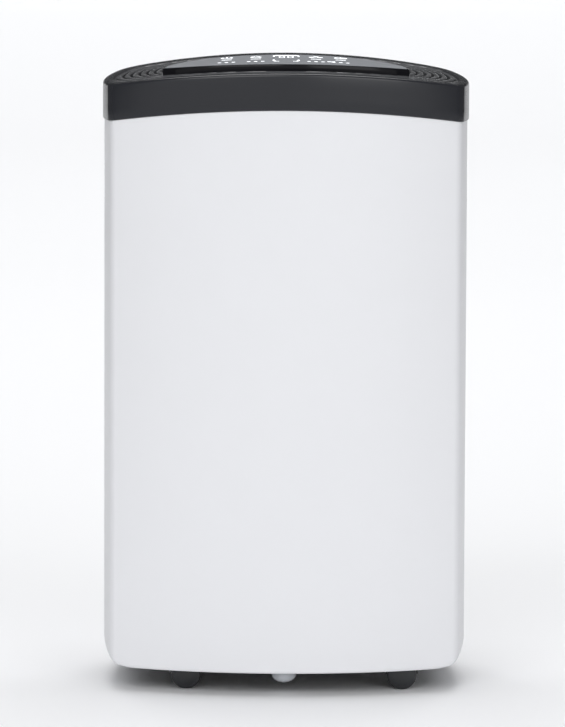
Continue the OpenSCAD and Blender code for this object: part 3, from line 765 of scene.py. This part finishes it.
def fan_mark(x, y):
    blades = []
    for a in (90, 210, 330):
        u = Vector((math.cos(math.radians(a)), math.sin(math.radians(a))))
        v = Vector((-u.y, u.x))
        blade = [(1.2, 0), (2.4, -2.0), (5.2, -2.3), (6.4, 0.2), (5.2, 2.3), (2.6, 1.4)]
        blades.append(filled([(x + u.x * p + v.x * q, y + u.y * p + v.y * q) for p, q in blade]))
    return blades


def clock_mark(x, y):
    return [stroke(arc_line(x, y, 4.6, 0, 345, 23, squash=1.2), 1.3, closed=True),
            stroke([(x, y + 3.6), (x, y), (x + 2.4, y)], 1.1)]


def square_mark(x, y, half):
    return [stroke([(x - half, y - half), (x + half, y - half), (x + half, y + half),
                    (x - half, y + half)], 1.0, closed=True)]


KEYS = ((-47.0, power_mark), (-24.0, drop_mark), (23.5, fan_mark), (43.0, clock_mark))
KEY_Y = -8.0
LAMP_Y = -51.0


def panel_marks():
    parts = []
    for x, mark in KEYS:
        parts += mark(x, KEY_Y)
        parts.append(stroke([(x - 4, LAMP_Y + 24), (x + 4, LAMP_Y + 24)], 2.2))
        for dx in (-5.5, 0, 5.5):
            parts.append(filled(arc_line(x + dx, LAMP_Y, 1.5, 0, 330, 11)))
    parts += square_mark(35.5, LAMP_Y + 4, 2.6)
    parts.append(stroke([(-8.2, 4.6), (8.2, 4.6)], 5.0))
    for s in (-1, 1):
        parts.append(stroke([(s * 8.2, 5.6), (s * 9.8, 1), (s * 9.8, -6)], 1.4))
        parts.append(stroke([(s * 9.8, -38), (s * 9.8, -46), (s * 8.2, -52), (s * 5.4, -52)], 1.6))
    # The printed marks glow: a painted highlight that makes the print bright, not a lamp
    piece("panel_marks", *joined(parts), "casing", GLOW_MARK_PAINTED_AND_LIT, slot="panel_lens")


def display():
    """The dark display window with two lit digits."""
    low, high = corners("display_window")
    rows = [(low.y, high.y), (low.y + 0.5, high.y - 0.5)]
    rings = []
    for (y0, y1), inset, drop in ((rows[0], 0, 2.0), (rows[0], 0, 0.3), (rows[1], 0.5, 0.05)):
        x0, x1 = low.x + inset, high.x - inset
        line = [(x0 + (x1 - x0) * i / 8, y0) for i in range(9)]
        line += [(x1 - (x1 - x0) * i / 8, y1) for i in range(9)]
        rings.append([(x, y, arch(POD_Z, x) - drop) for x, y in line])
    piece("display_glass", *loft(rings), "casing", MATERIALS["display_glass"], 0,
          ["display_window"], "display_glass")
    parts = []
    for x in (-3.4, 3.4):
        corner = [(x - 1.9, -3), (x + 1.9, -3), (x + 1.9, -10), (x + 1.9, -17), (x - 1.9, -17),
                  (x - 1.9, -10)]
        for a, b in zip(corner, corner[1:] + corner[:1]):
            a, b = Vector(a), Vector(b)
            trim = (b - a).normalized() * 0.5
            parts.append(stroke([tuple(a + trim), tuple(b - trim)], 0.9))
    piece("display_digits", *joined(parts), "casing", GLOW_MARK_PAINTED_AND_LIT, slot="display_glass")


# ---- Casters ----

CASTERS = ("fl", "fr", "rl", "rr")
WHEEL_PROFILE = [
    (2.1, 1.7), (8.0, 1.7), (10.6, 1.9), (11.2, 2.3), (11.5, 3.0), (11.5, 8.0), (11.3, 8.7),
    (10.8, 9.2), (9.9, 9.55), (9.4, 9.5), (9.1, 9.6), (7.5, 10.05), (5.0, 10.45), (2.5, 10.7),
    (0.01, 10.78), (0.01, 8.5), (2.1, 8.5)]


def caster(name):
    low, high = corners(f"caster_{name}_wheels")
    centre = (low + high) / 2
    parts = [lathe([(r, side * h) for r, h in WHEEL_PROFILE], centre, "Y") for side in (-1, 1)]
    piece(f"caster_{name}_tyres", *joined(parts), f"wheels_{name}", MATERIALS["caster_wheel"], 0,
          [f"caster_{name}_wheels"], "caster_wheel")
    hood(name, centre)


HOOD_R = 14.4
HOOD_SECTION = [(12.6, -9.6), (12.9, -10.0), (13.9, -10.0), (14.4, -9.3), (14.4, 9.3), (13.9, 10.0),
                (12.9, 10.0), (12.6, 9.6)]      # (radius, distance across)
HOOD_SKIRT = 4.0     # how far the skirt stops above the axle
TRAIL = 8.0


def hood(name, axle):
    """The caster's arched hood with a lipped skirt, the web between its wheels and its stem."""
    first = math.degrees(math.asin(HOOD_SKIRT / HOOD_R))
    rings = []
    steps = 36
    for i in range(steps + 1):
        a = math.radians(first + (180 - 2 * first) * i / steps)
        lip = 0.7 * max(0, 1 - min(i, steps - i) / 2)
        rings.append([(axle.x + (r + lip * (r > 13)) * math.cos(a), axle.y + y,
                       axle.z + (r + lip * (r > 13)) * math.sin(a)) for r, y in HOOD_SECTION])
    web = []
    for y in (-1.25, 1.25):
        line = [(12.7 * math.cos(math.radians(b)), 12.7 * math.sin(math.radians(b)))
                for b in range(0, 181, 6)]
        line += [(5 * math.cos(math.radians(b)), 5 * math.sin(math.radians(b)))
                 for b in range(180, 361, 12)]
        web.append([(axle.x + x, axle.y + y, axle.z + z) for x, z in line])
    stem = lathe([(0.01, 16), (5.6, 16), (6.0, 16.4), (6.0, 26.4), (5.6, 26.9), (0.01, 26.9)],
                 (axle.x - TRAIL, axle.y, 0), "Z", 48)
    piece(f"caster_{name}_cowl", *joined([loft(rings), loft(web), stem]), f"caster_{name}",
          MATERIALS["caster_plastic"], 0, [f"caster_{name}_hood"], "caster_plastic")


# ---- Drain plug ----

def drain_plug():
    """The pale plug: a shallow dome with a grip ridge across it and a stub that seals the drain."""
    low, high = corners("drain_plug")
    centre = ((low.x + high.x) / 2, (low.y + high.y) / 2, 0)
    dome = [(0.01, low.z)] + [(9.9 * math.sin(math.radians(a)),
                               low.z + 6.4 * (1 - math.cos(math.radians(a)))) for a in range(10, 91, 8)]
    dome += [(10.0, low.z + 7.0), (10.0, low.z + 8.4), (9.7, low.z + 8.9), (5.8, low.z + 9.0),
             (5.8, high.z - 0.6), (5.3, high.z), (0.01, high.z)]
    ridge = []
    for side in (-0.55, 0.55):
        line = [(10.05 * math.cos(math.radians(a)), low.z + 6.6 - 6.9 * math.sin(math.radians(a)))
                for a in range(4, 177, 6)]
        line += [(-9.0, low.z + 7.6), (9.0, low.z + 7.6)]
        ridge.append([(centre[0] + side, centre[1] + y, z) for y, z in line])
    piece("drain_plug_dome", *joined([lathe(dome, centre, "Z"), loft(ridge)]), "plug",
          MATERIALS["plug_plastic"], 0, ["drain_plug"], "plug_plastic")


# ---- Carried-over CAD nodes ----

def dress(node, slot, bevel=0.0):
    """Gives a CAD node its material and smooth round faces without touching its shape."""
    obj = frame["nodes"][node]
    mesh = obj.data
    if "custom_normal" in mesh.attributes:
        mesh.attributes.remove(mesh.attributes["custom_normal"])
    for p in mesh.polygons:
        p.use_smooth = True
    weld = obj.modifiers.new("weld", "WELD")
    weld.merge_threshold = 1e-6
    if bevel:
        add_bevel(obj, bevel)
    split = obj.modifiers.new("split", "EDGE_SPLIT")
    split.split_angle = math.radians(35)
    mesh.materials.clear()
    mesh.materials.append(MATERIALS[slot])


REPLACED = {"front_shell", "side_panel_left", "side_panel_right", "rear_posts", "rear_sill",
            "rear_shell", "top_cover", "outlet_grille", "control_pod", "control_panel",
            "display_window", "drain_plug"}
REPLACED |= {f"caster_{c}_{part}" for c in CASTERS for part in ("hood", "wheels")}
BEVELLED = {"base_pan": 0.4, "side_beams": 0.4, "side_grip_left": 0.5, "side_grip_right": 0.5,
            "water_tank": 0.5, "tank_lid": 0.4, "intake_grille": 0.4, "drain_cap": 0.4, "cord_gland": 0.3}

for row in frame["record"]["subparts"]:
    if row["node"] not in REPLACED:
        dress(row["node"], row["material_slot"], BEVELLED.get(row["node"], 0.0))

front_shell()
side_panels()
rear_posts()
rear_sill()
rear_shell()
screw_wells()
top_cover()
outlet_grille()
control_pod()
control_panel()
panel_marks()
display()
drain_plug()
for name in CASTERS:
    caster(name)


# ---- Stage: floor, backdrop, lights and camera ----

def stage_material(name, colour, roughness):
    made = bpy.data.materials.new(name)
    made.use_nodes = True
    shader = made.node_tree.nodes["Principled BSDF"]
    shader.inputs["Base Color"].default_value = (*colour, 1)
    shader.inputs["Roughness"].default_value = roughness
    return made


def floor():
    mesh = bpy.data.meshes.new("floor")
    depth = ((-1.8, 0.0), (3.0, 0.0), (4.0, 0.06), (4.6, 0.18), (4.95, 0.34), (5.1, 0.6))
    verts = [(x, y, z) for y, z in depth for x in (-2.2, 2.2)]
    faces = [(2 * i, 2 * i + 1, 2 * i + 3, 2 * i + 2) for i in range(len(depth) - 1)]
    mesh.from_pydata(verts, [], faces)
    obj = bpy.data.objects.new("floor", mesh)
    bpy.context.scene.collection.objects.link(obj)
    for p in mesh.polygons:
        p.use_smooth = True
    mesh.materials.append(stage_material("floor", (0.93, 0.935, 0.95), 0.6))


def area_light(name, place, target, size, power, colour=(1, 1, 1)):
    light = bpy.data.lights.new(name, "AREA")
    light.shape = "RECTANGLE"
    light.size, light.size_y = size
    light.energy = power
    light.color = colour
    obj = bpy.data.objects.new(name, light)
    obj.location = place
    obj.rotation_mode = "QUATERNION"
    obj.rotation_quaternion = (Vector(target) - Vector(place)).to_track_quat("-Z", "Y")
    bpy.context.scene.collection.objects.link(obj)


def world(front, side, rear):
    """Plain studio light: one level in front of the object, others beside and behind it."""
    made = bpy.data.worlds.new("world")
    made.use_nodes = True
    nodes, links = made.node_tree.nodes, made.node_tree.links
    place = nodes.new("ShaderNodeTexCoord")
    split = nodes.new("ShaderNodeSeparateXYZ")
    links.new(place.outputs["Generated"], split.inputs[0])
    ramp = nodes.new("ShaderNodeValToRGB")
    lift = nodes.new("ShaderNodeMath")
    lift.operation = "MULTIPLY_ADD"
    lift.inputs[1].default_value = -0.5
    lift.inputs[2].default_value = 0.5
    links.new(split.outputs["Y"], lift.inputs[0])
    links.new(lift.outputs[0], ramp.inputs[0])
    stops = ((0.0, rear), (0.5, side), (0.818, side), (0.828, front), (1.0, front))
    elements = ramp.color_ramp.elements
    while len(elements) < len(stops):
        elements.new(0.5)
    for element, (where, level) in zip(elements, stops):
        element.position = where
        element.color = (level * 0.99, level * 0.995, level, 1)
    links.new(ramp.outputs["Color"], nodes["Background"].inputs["Color"])
    nodes["Background"].inputs["Strength"].default_value = 1.0
    bpy.context.scene.world = made


EYE_DISTANCE = 5.555
EYE_HEIGHT = 0.939
LENS = 347.3
ROLL = 0.22          # degrees


def camera():
    data = bpy.data.cameras.new("camera")
    data.lens = LENS
    data.sensor_width = 36
    data.clip_end = 50
    obj = bpy.data.objects.new("camera", data)
    obj.location = (-0.002, -EYE_DISTANCE, EYE_HEIGHT)
    target = Vector((-0.002, 0, 0.2515))
    obj.rotation_mode = "QUATERNION"
    turn = Quaternion((0, 0, 1), math.radians(ROLL))
    obj.rotation_quaternion = (target - obj.location).to_track_quat("-Z", "Y") @ turn
    bpy.context.scene.collection.objects.link(obj)
    bpy.context.scene.camera = obj


camera()
floor()
world(0.92, 0.3, 0.06)
area_light("key", (-1.2, -3.6, 2.6), (0, 0, 0.25), (2.4, 2.4), 45)
area_light("fill", (1.6, -3.4, 1.6), (0, 0, 0.25), (2.0, 2.0), 26)
area_light("top", (0, 0.6, 3.0), (0, 0, 0.4), (2.0, 2.0), 54)
area_light("backdrop", (0, 2.8, 3.2), (0, 5.0, 0.3), (4.0, 1.5), 82)
bpy.context.scene.view_settings.view_transform = "Standard"
